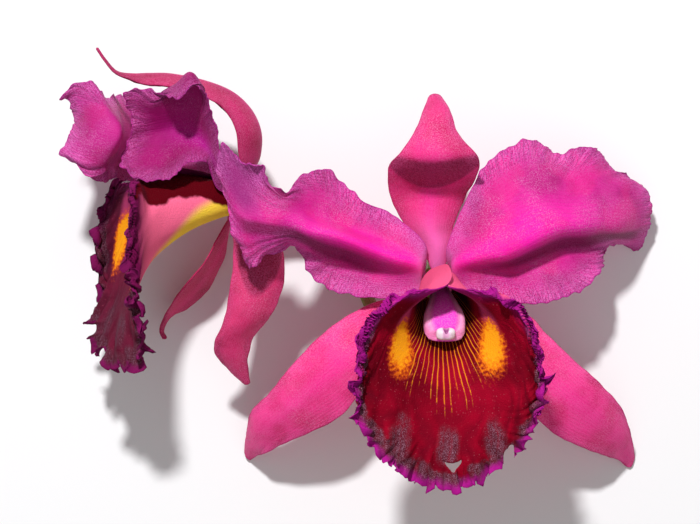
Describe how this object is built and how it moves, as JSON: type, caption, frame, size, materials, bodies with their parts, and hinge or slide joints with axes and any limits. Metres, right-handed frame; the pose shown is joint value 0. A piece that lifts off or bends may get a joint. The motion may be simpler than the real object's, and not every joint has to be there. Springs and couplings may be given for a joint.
{
  "type": "cut cattleya orchid spray",
  "caption": "Cut spray of cattleya orchid blooms lying on a table, with waved magenta petals and frilled crimson lips.",
  "frame": {"origin": "centre of the spray's outline on the table that it lies on", "axes": "+Z up from the table; +X to the right and +Y up as one looks down on the spray, with the open bloom's top sepal pointing along +Y"},
  "size_m": [0.2004, 0.1458, 0.0783],
  "materials": {
    "sepal": "soft satin, fine grain",
    "petal": "soft satin, fine sparkling grain",
    "lip": "velvet",
    "column": "waxy",
    "anther_cap": "waxy",
    "stalk": "satin"
  },
  "bodies": {
    "root": {"front_dorsal_sepal": "sepal", "front_right_sepal": "sepal", "front_left_sepal": "sepal", "side_dorsal_sepal": "sepal", "side_near_sepal": "sepal", "side_far_sepal": "sepal", "front_right_petal": "petal", "front_left_petal": "petal", "side_near_petal": "petal", "side_far_petal": "petal", "front_lip": "lip", "side_lip": "lip", "front_column": "column", "side_column": "column", "front_anther_cap": "anther_cap", "side_anther_cap": "anther_cap", "front_ovary": "stalk", "side_ovary": "stalk", "flower_stem": "stalk"}
  },
  "joints": []
}
